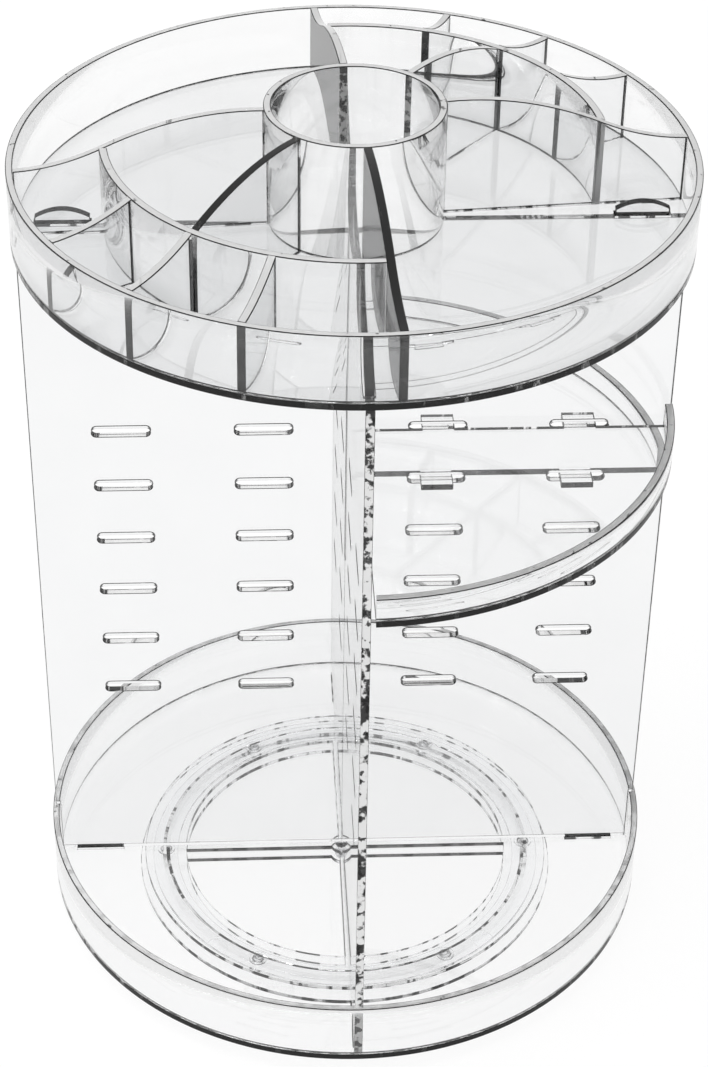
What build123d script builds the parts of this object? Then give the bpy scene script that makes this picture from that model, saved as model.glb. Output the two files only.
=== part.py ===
from build123d import *

import os
from math import cos, pi, sin

# Rotating makeup organizer in clear acrylic sheet and tube, on a ball-bearing turntable.
# Millimetres, +Z up. The origin is on the table under the turning axis. X runs along the
# wide panel and -Y is the front. A glued joint is a thin gap between two separate pieces.
# A cutter, or a shape that joins another, runs past the face that it meets by OVERLAP.

# --- driving dimensions -------------------------------------------------------------------

TRAY_RADIUS = 115.0
TRAY_HEIGHT = 25.8
RIM_WALL = 2.4
FLOOR_THICKNESS = 2.4
GLUE = 0.05
OVERLAP = 1.0

TURNTABLE_HEIGHT = 8.0
TOP_TRAY_LEVEL = 291.9
TOP_RIM_HEIGHT = 26.4

PANEL_THICKNESS = 3.0
PANEL_HALF_WIDTH = 114.0
PANEL_RIM_CLEARANCE = 0.2
TAB_CENTRE = 97.6
TAB_WIDTH = 18.4
TAB_SHOULDER = 4.6
TAB_CROWN = 7.4
TAB_LIFT_CLEARANCE = 0.3

SLOT_LENGTH = 20.9
SLOT_HEIGHT = 3.5
SLOT_END_SIDES = 4
SLOT_COLUMNS = (31.0, 81.5)
SLOT_ROWS = 6
SLOT_ROW_PITCH = 23.3
FIRST_SLOT_ROW = 92.5

SHELF_RADIUS = 114.0
SHELF_THICKNESS = 2.4
SHELF_SIDE_GAP = 1.6
TONGUE_WIDTH = 11.6
TONGUE_REACH = 5.4
LIP_WALL = 2.8
LIP_HEIGHT = 8.8
FRONT_SHELF_ROW = 5
REAR_SHELF_ROW = 4

CUP_RADIUS = 30.2
CUP_WALL = 2.5
CUP_TOP = 336.0
DIVIDER_THICKNESS = 2.8
ARC_RADIUS = 83.0
ARC_TOP = 325.4
OUTER_EDGE_SAG = 1.6
INNER_EDGE_BULGE = 3.4
GROUP_START = 5.0
DIVIDER_STEPS = (0.0, 25.0, 45.0, 65.0, 90.0)

FOOT_BOTTOM = 1.0
FOOT_TOP = 2.7
BEARING_BOTTOM = 6.3
FOOT_OUTER_RADIUS = 81.7
BEARING_OUTER_RADIUS = 79.8
RING_INNER_RADIUS = 63.4
BALL_CIRCLE_RADIUS = 71.5
BALL_RADIUS = 2.25
BALL_COUNT = 6
BALL_SIDES = 8
BALL_SLICES = 6
RACE_HALF_WIDTH = 1.55
RACE_DEPTH = 0.9
CAGE_THICKNESS = 1.2
CAGE_OUTER_RADIUS = 76.7
CAGE_INNER_RADIUS = 66.9
CAGE_BOSS_RADIUS = 3.4
CAGE_BOSS_HEIGHT = 0.6
BALL_POCKET_CLEARANCE = 0.05
POCKET_SIDES = 14

HUB_RADIUS = 6.0
HUB_DEPTH = 1.2
SPOKE_WIDTH = 5.2
PIN_RADIUS = 2.3
RUNNING_CLEARANCE = 0.05
PIN_HEAD_RADIUS = 4.0
PIN_HEAD_THICKNESS = 0.9
HUB_COUNTERBORE_CLEARANCE = 0.3
CLIP_THICKNESS = 0.7
PIN_TOP_CLEARANCE = 0.2

QUARTER_TURNS = 4
PAD_COUNT = 4
PAD_RADIUS = 4.0
PAD_THICKNESS = 1.0
PAD_START = 45.0
PAD_SIDES = 16

# --- levels and radii that follow from them -----------------------------------------------

BASE_LEVEL = TURNTABLE_HEIGHT
BASE_FLOOR_TOP = BASE_LEVEL + FLOOR_THICKNESS
BASE_RIM_TOP = BASE_LEVEL + TRAY_HEIGHT
TOP_FLOOR_TOP = TOP_TRAY_LEVEL + FLOOR_THICKNESS
TOP_RIM_TOP = TOP_TRAY_LEVEL + TOP_RIM_HEIGHT
RIM_INNER_RADIUS = TRAY_RADIUS - RIM_WALL
PANEL_BOTTOM = BASE_FLOOR_TOP + GLUE
PANEL_TOP = TOP_TRAY_LEVEL - GLUE
PANEL_MIDDLE = (PANEL_BOTTOM + PANEL_TOP) / 2
BEARING_TOP = BASE_LEVEL - GLUE
BALL_LEVEL = (FOOT_TOP + BEARING_BOTTOM) / 2
PIN_TOP = BEARING_TOP - PIN_TOP_CLEARANCE
CLIP_SHOULDER = PIN_TOP - CLIP_THICKNESS
PAD_CIRCLE_RADIUS = (FOOT_OUTER_RADIUS + RING_INNER_RADIUS) / 2


# --- shared shapes ------------------------------------------------------------------------

def ring(outer_radius, inner_radius, bottom, top):
    """Tube wall or flat ring about the turning axis, between two levels."""
    section = Circle(outer_radius) - Circle(inner_radius)
    return extrude(Pos(0, 0, bottom) * section, top - bottom)


def disc(radius, bottom, top):
    """Round plate, pin or hole cutter on the turning axis, between two levels."""
    return extrude(Pos(0, 0, bottom) * Circle(radius), top - bottom)


def flat_sided_disc(inside_radius, sides, bottom, top):
    """Small round shape drawn with a few flat sides, because it is repeated."""
    outline = RegularPolygon(inside_radius, sides, major_radius=False)
    return extrude(Pos(0, 0, bottom) * outline, top - bottom)


def around(shape, radius, count, start=0.0):
    """Copies of a shape at even angles on a circle about the turning axis."""
    step = 360.0 / count
    return [Rot(0, 0, start + step * turn) * Pos(radius, 0, 0) * shape for turn in range(count)]


def upright_plate(face, thickness):
    """Sheet cut to an outline of distance from the axis and height, standing along X."""
    return extrude(Plane.XZ * face, thickness / 2, both=True)


def save(name, *solids):
    """Write one node, which is a single solid or a group of identical ones."""
    shape = solids[0] if len(solids) == 1 else Compound(children=list(solids))
    shape.label = name
    export_step(shape, f"parts/{name}.step")


# --- turntable ----------------------------------------------------------------------------

def ball_race(face_level, depth):
    """Cutter for the V-shaped groove that the balls run in, from a ring's face inwards."""
    inner_edge = (BALL_CIRCLE_RADIUS - RACE_HALF_WIDTH, face_level)
    outer_edge = (BALL_CIRCLE_RADIUS + RACE_HALF_WIDTH, face_level)
    bottom = (BALL_CIRCLE_RADIUS, face_level + depth)
    outline = Polyline(inner_edge, outer_edge, bottom, close=True)
    return revolve(Plane.XZ * make_face(outline), Axis.Z)


def spoked_hub(bottom, top):
    """Hub with four flat spokes that reach a bearing ring's inner edge."""
    reach = RING_INNER_RADIUS + OVERLAP
    hub = disc(HUB_RADIUS, bottom, top)
    for turn in range(QUARTER_TURNS // 2):
        spokes = Pos(0, 0, (bottom + top) / 2) * Box(2 * reach, SPOKE_WIDTH, top - bottom)
        hub += Rot(0, 0, 360 / QUARTER_TURNS * turn) * spokes
    return hub


def foot_ring():
    """Lower bearing ring with its ball race, spoked hub and pin bore."""
    body = ring(FOOT_OUTER_RADIUS, RING_INNER_RADIUS, FOOT_BOTTOM, FOOT_TOP)
    body += spoked_hub(FOOT_BOTTOM, FOOT_TOP)
    body += disc(HUB_RADIUS, FOOT_BOTTOM, FOOT_TOP + HUB_DEPTH)
    body -= ball_race(FOOT_TOP, -RACE_DEPTH)
    body -= disc(PIN_RADIUS + GLUE, 0, BASE_LEVEL)
    body -= disc(PIN_HEAD_RADIUS + GLUE, 0, FOOT_BOTTOM + PIN_HEAD_THICKNESS + GLUE)
    return body


def foot_pads():
    """Soft pads stuck on the underside of the foot ring."""
    pad = flat_sided_disc(PAD_RADIUS, PAD_SIDES, 0, PAD_THICKNESS - GLUE)
    return around(pad, PAD_CIRCLE_RADIUS, PAD_COUNT, PAD_START)


def pivot_pin():
    """Headed pin from under the foot hub up through the upper hub."""
    head_top = FOOT_BOTTOM + PIN_HEAD_THICKNESS
    return disc(PIN_HEAD_RADIUS, FOOT_BOTTOM, head_top) + disc(PIN_RADIUS, FOOT_BOTTOM, PIN_TOP)


def pivot_clip():
    """Push-on washer that keeps the two bearing rings together on the pin."""
    return ring(PIN_HEAD_RADIUS, PIN_RADIUS + GLUE / 2, CLIP_SHOULDER + GLUE, PIN_TOP - GLUE)


def bearing_top_ring():
    """Upper bearing ring, cemented under the base tray, with its ball race and spoked hub."""
    body = ring(BEARING_OUTER_RADIUS, RING_INNER_RADIUS, BEARING_BOTTOM, BEARING_TOP)
    body += spoked_hub(BEARING_BOTTOM, BEARING_TOP)
    body += disc(HUB_RADIUS, BEARING_BOTTOM - HUB_DEPTH, BEARING_TOP)
    body -= ball_race(BEARING_BOTTOM, RACE_DEPTH)
    body -= disc(PIN_RADIUS + RUNNING_CLEARANCE, 0, BASE_LEVEL)
    body -= disc(PIN_HEAD_RADIUS + HUB_COUNTERBORE_CLEARANCE, CLIP_SHOULDER, BASE_LEVEL)
    return body


def ball_cage():
    """Flat ring between the bearing rings, with a raised boss round each ball's pocket."""
    bottom = BALL_LEVEL - CAGE_THICKNESS / 2
    top = BALL_LEVEL + CAGE_THICKNESS / 2
    body = ring(CAGE_OUTER_RADIUS, CAGE_INNER_RADIUS, bottom, top)
    boss = flat_sided_disc(CAGE_BOSS_RADIUS, POCKET_SIDES, bottom, top + CAGE_BOSS_HEIGHT)
    pocket_radius = BALL_RADIUS + BALL_POCKET_CLEARANCE
    pocket = flat_sided_disc(pocket_radius, POCKET_SIDES, 0, BASE_LEVEL)
    for place in around(boss, BALL_CIRCLE_RADIUS, BALL_COUNT):
        body += place
    for place in around(pocket, BALL_CIRCLE_RADIUS, BALL_COUNT):
        body -= place
    return body


def bearing_ball():
    """Steel ball, built up in slices of flat facets because it is small and repeated."""
    slices = []
    for step in range(1, BALL_SLICES):
        angle = pi * step / BALL_SLICES
        level = Pos(0, 0, BALL_LEVEL - BALL_RADIUS * cos(angle))
        slices.append(level * RegularPolygon(BALL_RADIUS * sin(angle), BALL_SIDES))
    return loft(slices, ruled=True)


def bearing_balls():
    """Steel balls that carry the organizer's weight."""
    return around(bearing_ball(), BALL_CIRCLE_RADIUS, BALL_COUNT)


# --- base tray ----------------------------------------------------------------------------

def tab_slots(clearance, bottom, top):
    """Cutters for the four slots in a tray floor that the panel tabs stand in."""
    slot = Pos(0, 0, (bottom + top) / 2) * Box(
        TAB_WIDTH + 2 * clearance,
        PANEL_THICKNESS + 2 * clearance,
        top - bottom,
    )
    return around(slot, TAB_CENTRE, QUARTER_TURNS)


def base_tray_floor():
    """Round base plate with the four slots that the panels' tabs are cemented in."""
    body = disc(TRAY_RADIUS, BASE_LEVEL, BASE_FLOOR_TOP)
    for slot in tab_slots(GLUE, 0, BASE_FLOOR_TOP + OVERLAP):
        body -= slot
    return body


def base_tray_rim():
    """Tube wall glued on the base plate's edge."""
    return ring(TRAY_RADIUS, RIM_INNER_RADIUS, BASE_FLOOR_TOP + GLUE, BASE_RIM_TOP)


# --- upright panels -----------------------------------------------------------------------

def rectangle_between(left, right, bottom, top):
    """Upright rectangle from its four sides."""
    return Pos((left + right) / 2, (bottom + top) / 2) * Rectangle(right - left, top - bottom)


def arched_tab(centre):
    """Tab with a low arched crown that locates the top tray."""
    left = centre - TAB_WIDTH / 2
    right = centre + TAB_WIDTH / 2
    foot = PANEL_TOP - OVERLAP
    shoulder = TOP_TRAY_LEVEL + TAB_SHOULDER
    sides = Polyline((left, shoulder), (left, foot), (right, foot), (right, shoulder))
    crown = ThreePointArc((right, shoulder), (centre, TOP_TRAY_LEVEL + TAB_CROWN), (left, shoulder))
    return make_face(sides + crown)


def shelf_slot():
    """Outline of one round-ended slot, with few flats in its ends because it repeats so often."""
    radius = SLOT_HEIGHT / 2
    straight = SLOT_LENGTH / 2 - radius
    turns = [pi * (step / SLOT_END_SIDES - 0.5) for step in range(SLOT_END_SIDES + 1)]
    right = [(straight + radius * cos(turn), radius * sin(turn)) for turn in turns]
    left = [(-x, -z) for x, z in right]
    return make_face(Polyline(*right, *left, close=True))


def panel_face():
    """Outline of one upright panel with its tabs and its rows of round-ended slots."""
    low_half_width = RIM_INNER_RADIUS - PANEL_RIM_CLEARANCE
    step = BASE_RIM_TOP + GLUE
    face = rectangle_between(-PANEL_HALF_WIDTH, PANEL_HALF_WIDTH, step, PANEL_TOP)
    face += rectangle_between(-low_half_width, low_half_width, PANEL_BOTTOM, step + OVERLAP)
    for side in (-1, 1):
        centre = side * TAB_CENTRE
        face += arched_tab(centre)
        face += rectangle_between(
            centre - TAB_WIDTH / 2, centre + TAB_WIDTH / 2, BASE_LEVEL, PANEL_BOTTOM + OVERLAP
        )
        for row in range(SLOT_ROWS):
            for column in SLOT_COLUMNS:
                height = FIRST_SLOT_ROW + row * SLOT_ROW_PITCH
                face -= Pos(side * column, height) * shelf_slot()
    return face


def lap_notch(bottom, top):
    """Half-height notch where the two panels pass through each other."""
    half = PANEL_THICKNESS / 2 + GLUE
    return rectangle_between(-half, half, bottom, top)


def wide_panel():
    """Panel from left to right, notched from its top edge down to the middle."""
    face = panel_face() - lap_notch(PANEL_MIDDLE - GLUE / 2, PANEL_TOP + OVERLAP)
    return upright_plate(face, PANEL_THICKNESS)


def cross_panel():
    """Panel from front to back, notched from its bottom edge up to the middle."""
    face = panel_face() - lap_notch(PANEL_BOTTOM - OVERLAP, PANEL_MIDDLE + GLUE / 2)
    return Rot(0, 0, 90) * upright_plate(face, PANEL_THICKNESS)


# --- quarter shelves ----------------------------------------------------------------------

def shelf_level(row):
    """Underside of a shelf whose tongues are centred in a row of slots."""
    return FIRST_SLOT_ROW + row * SLOT_ROW_PITCH - SHELF_THICKNESS / 2


def quarter(side, inset, bottom, top):
    """Block that fills one quarter on the right, in front (-1) or behind (1) the wide panel."""
    size = SHELF_RADIUS + OVERLAP
    block = Box(size, size, top - bottom, align=(Align.MIN, Align.MIN, Align.MIN))
    turn = 0 if side > 0 else -90
    return Rot(0, 0, turn) * Pos(inset, inset, bottom) * block


def shelf_plate(side, row):
    """Quarter-round shelf with two flat tongues that reach through the wide panel's slots."""
    bottom = shelf_level(row)
    top = bottom + SHELF_THICKNESS
    inset = PANEL_THICKNESS / 2 + SHELF_SIDE_GAP
    plate = disc(SHELF_RADIUS, bottom, top) & quarter(side, inset, bottom, top)
    tongue_tip = PANEL_THICKNESS / 2 + TONGUE_REACH
    tongue_root = inset + OVERLAP
    tongue_length = tongue_tip + tongue_root
    tongue_middle = side * (tongue_root - tongue_tip) / 2
    for column in SLOT_COLUMNS:
        tongue = Box(TONGUE_WIDTH, tongue_length, SHELF_THICKNESS)
        plate += Pos(column, tongue_middle, (bottom + top) / 2) * tongue
    return plate


def shelf_lip(side, row):
    """Low curved wall glued along the shelf's round edge."""
    bottom = shelf_level(row) + SHELF_THICKNESS + GLUE
    top = bottom + LIP_HEIGHT
    inset = PANEL_THICKNESS / 2 + SHELF_SIDE_GAP
    wall = ring(SHELF_RADIUS, SHELF_RADIUS - LIP_WALL, bottom, top)
    return wall & quarter(side, inset, bottom, top)


# --- top tray -----------------------------------------------------------------------------

def top_tray_floor():
    """Round plate that drops over the panels' tabs."""
    body = disc(TRAY_RADIUS, TOP_TRAY_LEVEL, TOP_FLOOR_TOP)
    for slot in tab_slots(TAB_LIFT_CLEARANCE, TOP_TRAY_LEVEL - OVERLAP, TOP_FLOOR_TOP + OVERLAP):
        body -= slot
    return body


def top_tray_rim():
    """Tube wall glued on the top plate's edge."""
    return ring(TRAY_RADIUS, RIM_INNER_RADIUS, TOP_FLOOR_TOP + GLUE, TOP_RIM_TOP)


def brush_cup():
    """Tube in the middle of the top tray that holds brushes upright."""
    return ring(CUP_RADIUS, CUP_RADIUS - CUP_WALL, TOP_FLOOR_TOP + GLUE, CUP_TOP)


def arc_divider(turn):
    """Curved wall, concentric with the rim, across one group of compartments."""
    half = DIVIDER_THICKNESS / 2
    wall = ring(ARC_RADIUS + half, ARC_RADIUS - half, TOP_FLOOR_TOP + GLUE, ARC_TOP)
    block = Box(TRAY_RADIUS, TRAY_RADIUS, 2 * CUP_TOP, align=(Align.MIN, Align.MIN, Align.CENTER))
    edge = half + GLUE
    return Rot(0, 0, GROUP_START + turn) * (wall & (Pos(edge, edge, 0) * block))


def edge_curve(start, end, rise):
    """Bowed top edge between two points, raised or lowered in its middle."""
    middle = ((start[0] + end[0]) / 2, (start[1] + end[1]) / 2 + rise)
    return ThreePointArc(start, middle, end)


def divider_plate(inner_end, outer_end, crest):
    """Radial plate whose top edge is high at the cup, lower at the arc, lowest at the rim."""
    bottom = TOP_FLOOR_TOP + GLUE
    outline = Polyline(crest[0], (inner_end, bottom), (outer_end, bottom), crest[-1])
    for start, end in zip(crest, crest[1:]):
        rise = INNER_EDGE_BULGE if start[1] == CUP_TOP else -OUTER_EDGE_SAG
        outline += edge_curve(start, end, rise)
    return upright_plate(make_face(outline), DIVIDER_THICKNESS)


def divider_plates():
    """Shapes of the three kinds of radial plate: full length, outer and inner."""
    half = DIVIDER_THICKNESS / 2
    cup_side = CUP_RADIUS + GLUE
    rim_side = RIM_INNER_RADIUS - 2 * GLUE
    arc_outside = ARC_RADIUS + half + GLUE
    arc_inside = ARC_RADIUS - half - 2 * GLUE
    at_cup = (cup_side, CUP_TOP)
    at_rim = (rim_side, TOP_RIM_TOP)
    full = divider_plate(cup_side, rim_side, (at_cup, (ARC_RADIUS, ARC_TOP), at_rim))
    outer = divider_plate(arc_outside, rim_side, ((arc_outside, ARC_TOP), at_rim))
    inner = divider_plate(cup_side, arc_inside, (at_cup, (arc_inside, ARC_TOP)))
    return full, outer, inner


def save_divider_group(group, turn):
    """Write the arc and the six radial plates of one half of the top tray."""
    full, outer, inner = divider_plates()
    save(f"arc_divider_{group}", arc_divider(turn))
    last = len(DIVIDER_STEPS) - 1
    for number, step in enumerate(DIVIDER_STEPS):
        plate = full if number in (0, last) else outer
        save(f"divider_{group}_{number + 1}", Rot(0, 0, GROUP_START + step + turn) * plate)
    middle_step = DIVIDER_STEPS[last // 2]
    save(f"inner_divider_{group}", Rot(0, 0, GROUP_START + middle_step + turn) * inner)


# --- the organizer ------------------------------------------------------------------------

os.makedirs("parts", exist_ok=True)

save("foot_ring", foot_ring())
save("foot_pads", *foot_pads())
save("pivot_pin", pivot_pin())
save("pivot_clip", pivot_clip())
save("ball_cage", ball_cage())
save("bearing_balls", *bearing_balls())

save("bearing_top_ring", bearing_top_ring())
save("base_tray_floor", base_tray_floor())
save("base_tray_rim", base_tray_rim())
save("wide_panel", wide_panel())
save("cross_panel", cross_panel())

for name, side, row in (("front_shelf", -1, FRONT_SHELF_ROW), ("rear_shelf", 1, REAR_SHELF_ROW)):
    save(f"{name}_plate", shelf_plate(side, row))
    save(f"{name}_lip", shelf_lip(side, row))

save("top_tray_floor", top_tray_floor())
save("top_tray_rim", top_tray_rim())
save("brush_cup", brush_cup())
save_divider_group("rear", 0)
save_divider_group("front", 180)
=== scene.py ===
"""Looks of a rotating makeup organizer: clear acrylic sheet and tube on a ball-bearing turntable.

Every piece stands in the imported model's own frame, in metres. Sheets are cut from flat outlines,
tubes and rings are spun from a section, and each piece replaces the solid that it dresses.
"""

import logging
from dataclasses import dataclass, field
from enum import Enum
from math import atan2, cos, hypot, pi, radians, sin
from typing import Callable

import bpy
from mathutils import Matrix, Vector


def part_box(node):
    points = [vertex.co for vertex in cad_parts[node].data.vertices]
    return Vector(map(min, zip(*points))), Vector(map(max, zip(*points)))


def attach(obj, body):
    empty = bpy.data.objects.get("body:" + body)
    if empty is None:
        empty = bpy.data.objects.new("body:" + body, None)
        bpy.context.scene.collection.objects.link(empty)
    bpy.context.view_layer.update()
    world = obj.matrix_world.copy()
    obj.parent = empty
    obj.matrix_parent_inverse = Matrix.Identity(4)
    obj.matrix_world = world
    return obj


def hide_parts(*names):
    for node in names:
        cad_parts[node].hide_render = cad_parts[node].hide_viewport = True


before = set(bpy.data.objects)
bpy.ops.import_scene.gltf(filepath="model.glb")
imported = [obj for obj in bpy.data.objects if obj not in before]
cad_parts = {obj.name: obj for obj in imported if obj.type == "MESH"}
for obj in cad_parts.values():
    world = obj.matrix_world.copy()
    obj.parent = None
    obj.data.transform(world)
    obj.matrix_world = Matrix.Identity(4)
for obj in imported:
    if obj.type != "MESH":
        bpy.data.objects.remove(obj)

log = logging.getLogger("organizer")

Point = tuple[float, float]
Outline = list[Point]


class Body(Enum):
    """Groups of pieces that move as one."""

    FOOT = "foot"
    CAGE = "cage"
    CAROUSEL = "carousel"
    TOP_TRAY = "top_tray"
    FRONT_SHELF = "front_shelf"
    REAR_SHELF = "rear_shelf"


class Stock(Enum):
    """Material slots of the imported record."""

    ACRYLIC = "clear_acrylic"
    MOULDING = "clear_moulding"
    STEEL = "steel"
    PAD = "soft_pad"


# --- finishes -----------------------------------------------------------------------------

DEPTH_GREY = (0.03, 0.03, 0.03, 1.0)
# Grey of the painted dark reflection that the blades show at glancing angles.
PAINTED_REFLECTION_GREY = (0.07, 0.07, 0.07, 1.0)
# Near-black of the painted shade laid on sawn edges.
EDGE_PAINTED_SHADE = (0.012, 0.012, 0.012, 1.0)
FROST_GREY = (0.76, 0.76, 0.76, 1.0)


class NodeSheet:
    """Short-hand for placing and joining the nodes of one material."""

    def __init__(self, name: str) -> None:
        """Start an empty node tree.

        Args:
            name: The material's name.
        """
        self.material = bpy.data.materials.new(name)
        self.material.use_nodes = True
        self.tree = self.material.node_tree
        self.tree.nodes.clear()
        self.output = self.tree.nodes.new("ShaderNodeOutputMaterial")
        self.place = self.tree.nodes.new("ShaderNodeTexCoord").outputs["Object"]

    def add(self, kind: str, **values: object) -> bpy.types.Node:
        """Place a node and set its unlinked sockets by name.

        Args:
            kind: The node's type.
            values: Socket names, with underscores for spaces, and their values.

        Returns:
            The new node.
        """
        node = self.tree.nodes.new(kind)
        for name, value in values.items():
            node.inputs[name.replace("_", " ")].default_value = value
        return node

    def join(self, source: bpy.types.NodeSocket, target: bpy.types.NodeSocket) -> None:
        """Link one socket to another.

        Args:
            source: The socket that gives the value.
            target: The socket that takes it.
        """
        self.tree.links.new(source, target)

    def noise(self, scale: float, detail: float) -> bpy.types.NodeSocket:
        """Noise that stays put on the piece.

        Args:
            scale: Features for each metre.
            detail: Levels of finer noise.

        Returns:
            The noise's value socket.
        """
        node = self.add("ShaderNodeTexNoise", Scale=scale, Detail=detail)
        self.join(self.place, node.inputs["Vector"])
        return node.outputs[0]

    def ranged(
        self, source: bpy.types.NodeSocket, floor: float, ceiling: float, low: float, high: float
    ) -> bpy.types.NodeSocket:
        """Map a stretch of a value onto another range, held at its ends.

        Args:
            source: The value to map.
            floor: The value that gives low.
            ceiling: The value that gives high.
            low: The result at floor.
            high: The result at ceiling.

        Returns:
            The mapped socket.
        """
        node = self.add(
            "ShaderNodeMapRange", From_Min=floor, From_Max=ceiling, To_Min=low, To_Max=high
        )
        self.join(source, node.inputs["Value"])
        return node.outputs["Result"]

    def bump(
        self, height: bpy.types.NodeSocket, distance: float, strength: float
    ) -> bpy.types.NodeSocket:
        """Surface relief from a height.

        Args:
            height: The height, from 0 to 1.
            distance: The relief's depth in metres.
            strength: How much of it shows.

        Returns:
            The normal socket.
        """
        node = self.add("ShaderNodeBump", Distance=distance, Strength=strength)
        self.join(height, node.inputs["Height"])
        return node.outputs["Normal"]


@dataclass(frozen=True)
class ClearPlastic:
    """Clear plastic whose long paths through the sheet go grey, as at its edges."""

    name: str
    tint: tuple[float, float, float]
    density: float
    haze: float
    relief_scale: float
    relief: float
    ior: float = 1.49
    cloud_scale: float = 38.0
    scuff_scale: float = 240.0
    scuffs_from: float = 0.62
    scuffs_full: float = 0.8

    def surface(self, sheet: NodeSheet) -> bpy.types.NodeSocket:
        """Glass-like surface with hairline haze and slight relief.

        Args:
            sheet: The material's nodes.

        Returns:
            The shader socket.
        """
        shader = sheet.add("ShaderNodeBsdfPrincipled", IOR=self.ior, Transmission_Weight=1.0)
        tone = sheet.add("ShaderNodeMix")
        tone.data_type = "RGBA"
        tone.inputs["A"].default_value = (*self.tint, 1.0)
        tone.inputs["B"].default_value = (*(0.5 + 0.5 * part for part in self.tint), 1.0)
        sheet.join(sheet.noise(self.cloud_scale, 4.0), tone.inputs["Factor"])
        sheet.join(tone.outputs["Result"], shader.inputs["Base Color"])
        scratches = sheet.noise(self.scuff_scale, 6.0)
        scuffs = sheet.ranged(scratches, self.scuffs_from, self.scuffs_full, 0.0, self.haze)
        sheet.join(scuffs, shader.inputs["Roughness"])
        relief = sheet.bump(sheet.noise(self.relief_scale, 3.0), self.relief, 1.0)
        sheet.join(relief, shader.inputs["Normal"])
        return shader.outputs["BSDF"]

    def blend_of(
        self,
        sheet: NodeSheet,
        share: bpy.types.NodeSocket,
        first: bpy.types.NodeSocket,
        second: bpy.types.NodeSocket,
    ) -> bpy.types.NodeSocket:
        """Mix two shaders.

        Args:
            sheet: The material's nodes.
            share: How much of the second shader shows.
            first: The shader where the share is 0.
            second: The shader where it is 1.

        Returns:
            The mixed shader.
        """
        both = sheet.add("ShaderNodeMixShader")
        sheet.join(share, both.inputs[0])
        sheet.join(first, both.inputs[1])
        sheet.join(second, both.inputs[2])
        return both.outputs[0]

    def finish(self, sheet: NodeSheet, surface: bpy.types.NodeSocket) -> bpy.types.Material:
        """Join the surface and the absorption inside it to the output.

        Args:
            sheet: The material's nodes.
            surface: The shader at its surface.

        Returns:
            The material.
        """
        depth = sheet.add("ShaderNodeVolumeAbsorption", Color=DEPTH_GREY, Density=self.density)
        sheet.join(surface, sheet.output.inputs["Surface"])
        sheet.join(depth.outputs["Volume"], sheet.output.inputs["Volume"])
        return sheet.material

    def material(self) -> bpy.types.Material:
        """Build the finish.

        Returns:
            The material.
        """
        sheet = NodeSheet(self.name)
        return self.finish(sheet, self.surface(sheet))


@dataclass(frozen=True)
class PaintedReflectionPlastic(ClearPlastic):
    """Clear plastic with a painted dark reflection at glancing angles, as on the blades beside the cup.
    """

    glance_ior: float = 3.0
    gloss: float = 0.1

    def material(self) -> bpy.types.Material:
        """Build the finish.

        Returns:
            The material.
        """
        sheet = NodeSheet(self.name)
        # Painted reflection: this dark gloss, mixed in by a Fresnel with a high IOR, paints a dark
        # mirror image on the faces.
        dark = sheet.add("ShaderNodeBsdfPrincipled", Base_Color=PAINTED_REFLECTION_GREY, Roughness=0.2)
        dark.inputs["Specular IOR Level"].default_value = self.gloss
        glance = sheet.add("ShaderNodeFresnel", IOR=self.glance_ior)
        surface = self.blend_of(sheet, glance.outputs["Fac"], self.surface(sheet), dark.outputs["BSDF"])
        return self.finish(sheet, surface)


@dataclass(frozen=True)
class EdgeLook:
    """How much of a sawn edge is painted dark as painted shade and how much is frosted, by levels of its
    noise.
    """

    dark_until: float
    darkness: float
    frost_from: float = 1.0
    frosting: float = 0.0


class EdgeKind(Enum):
    """How sawn edges look in the photo."""

    # Each look's dark share is painted shade laid on the edge.
    BLACK = EdgeLook(0.6, 0.96)
    MOTTLED = EdgeLook(0.455, 0.96, 0.43, 0.8)
    BROKEN = EdgeLook(0.46, 0.96)
    OUTLINE = EdgeLook(1.0, 0.88)
    LIGHT = EdgeLook(0.3, 0.8, 0.3, 0.5)


@dataclass(frozen=True)
class CutEdge(ClearPlastic):
    """Edge of a cut sheet: striped across its thickness, in part painted dark as painted shade and in
    part clear.
    """

    stripes: float = 190.0
    blend: float = 0.025
    across: float = 0.02
    gloss: float = 0.15
    frost_stripes: float = 1.7

    def material_across(self, turn: float | None, kind: EdgeKind) -> bpy.types.Material:
        """Build the finish for one direction of the sheet's thickness.

        Args:
            turn: Degrees from Y to the thickness of an upright sheet, or None for a lying one.
            kind: How much painted shade the edge carries.

        Returns:
            The finish, whose stripes run across the thickness.
        """
        place = "lying" if turn is None else str(round(turn) % 180)
        sheet = NodeSheet(f"{self.name}_{kind.name.lower()}_{place}")
        along = sheet.add("ShaderNodeMapping")
        if turn is None:
            along.inputs["Scale"].default_value = (1.0, 1.0, self.across)
        else:
            along.inputs["Rotation"].default_value = (0.0, 0.0, -radians(turn))
            along.inputs["Scale"].default_value = (1.0, self.across, 1.0)
        sheet.join(sheet.place, along.inputs["Vector"])
        sheet.place = along.outputs["Vector"]
        # Painted shade: a near-black glossy shader laid over the edge in stripes.
        dark = sheet.add("ShaderNodeBsdfPrincipled", Base_Color=EDGE_PAINTED_SHADE, Roughness=0.12)
        dark.inputs["Specular IOR Level"].default_value = self.gloss
        look = kind.value
        end = look.dark_until
        painted_shade_stripes = sheet.noise(self.stripes, 6.0)
        share = sheet.ranged(painted_shade_stripes, end - self.blend, end + self.blend, look.darkness, 0.0)
        surface = self.surface(sheet)
        if look.frosting:
            frost = sheet.add("ShaderNodeBsdfPrincipled", Base_Color=FROST_GREY, Roughness=0.45)
            mist = sheet.noise(self.stripes * self.frost_stripes, 3.0)
            start = look.frost_from
            patches = sheet.ranged(mist, start - self.blend, start + self.blend, 0.0, look.frosting)
            surface = self.blend_of(sheet, patches, surface, frost.outputs["BSDF"])
        return self.finish(sheet, self.blend_of(sheet, share, surface, dark.outputs["BSDF"]))


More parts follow.
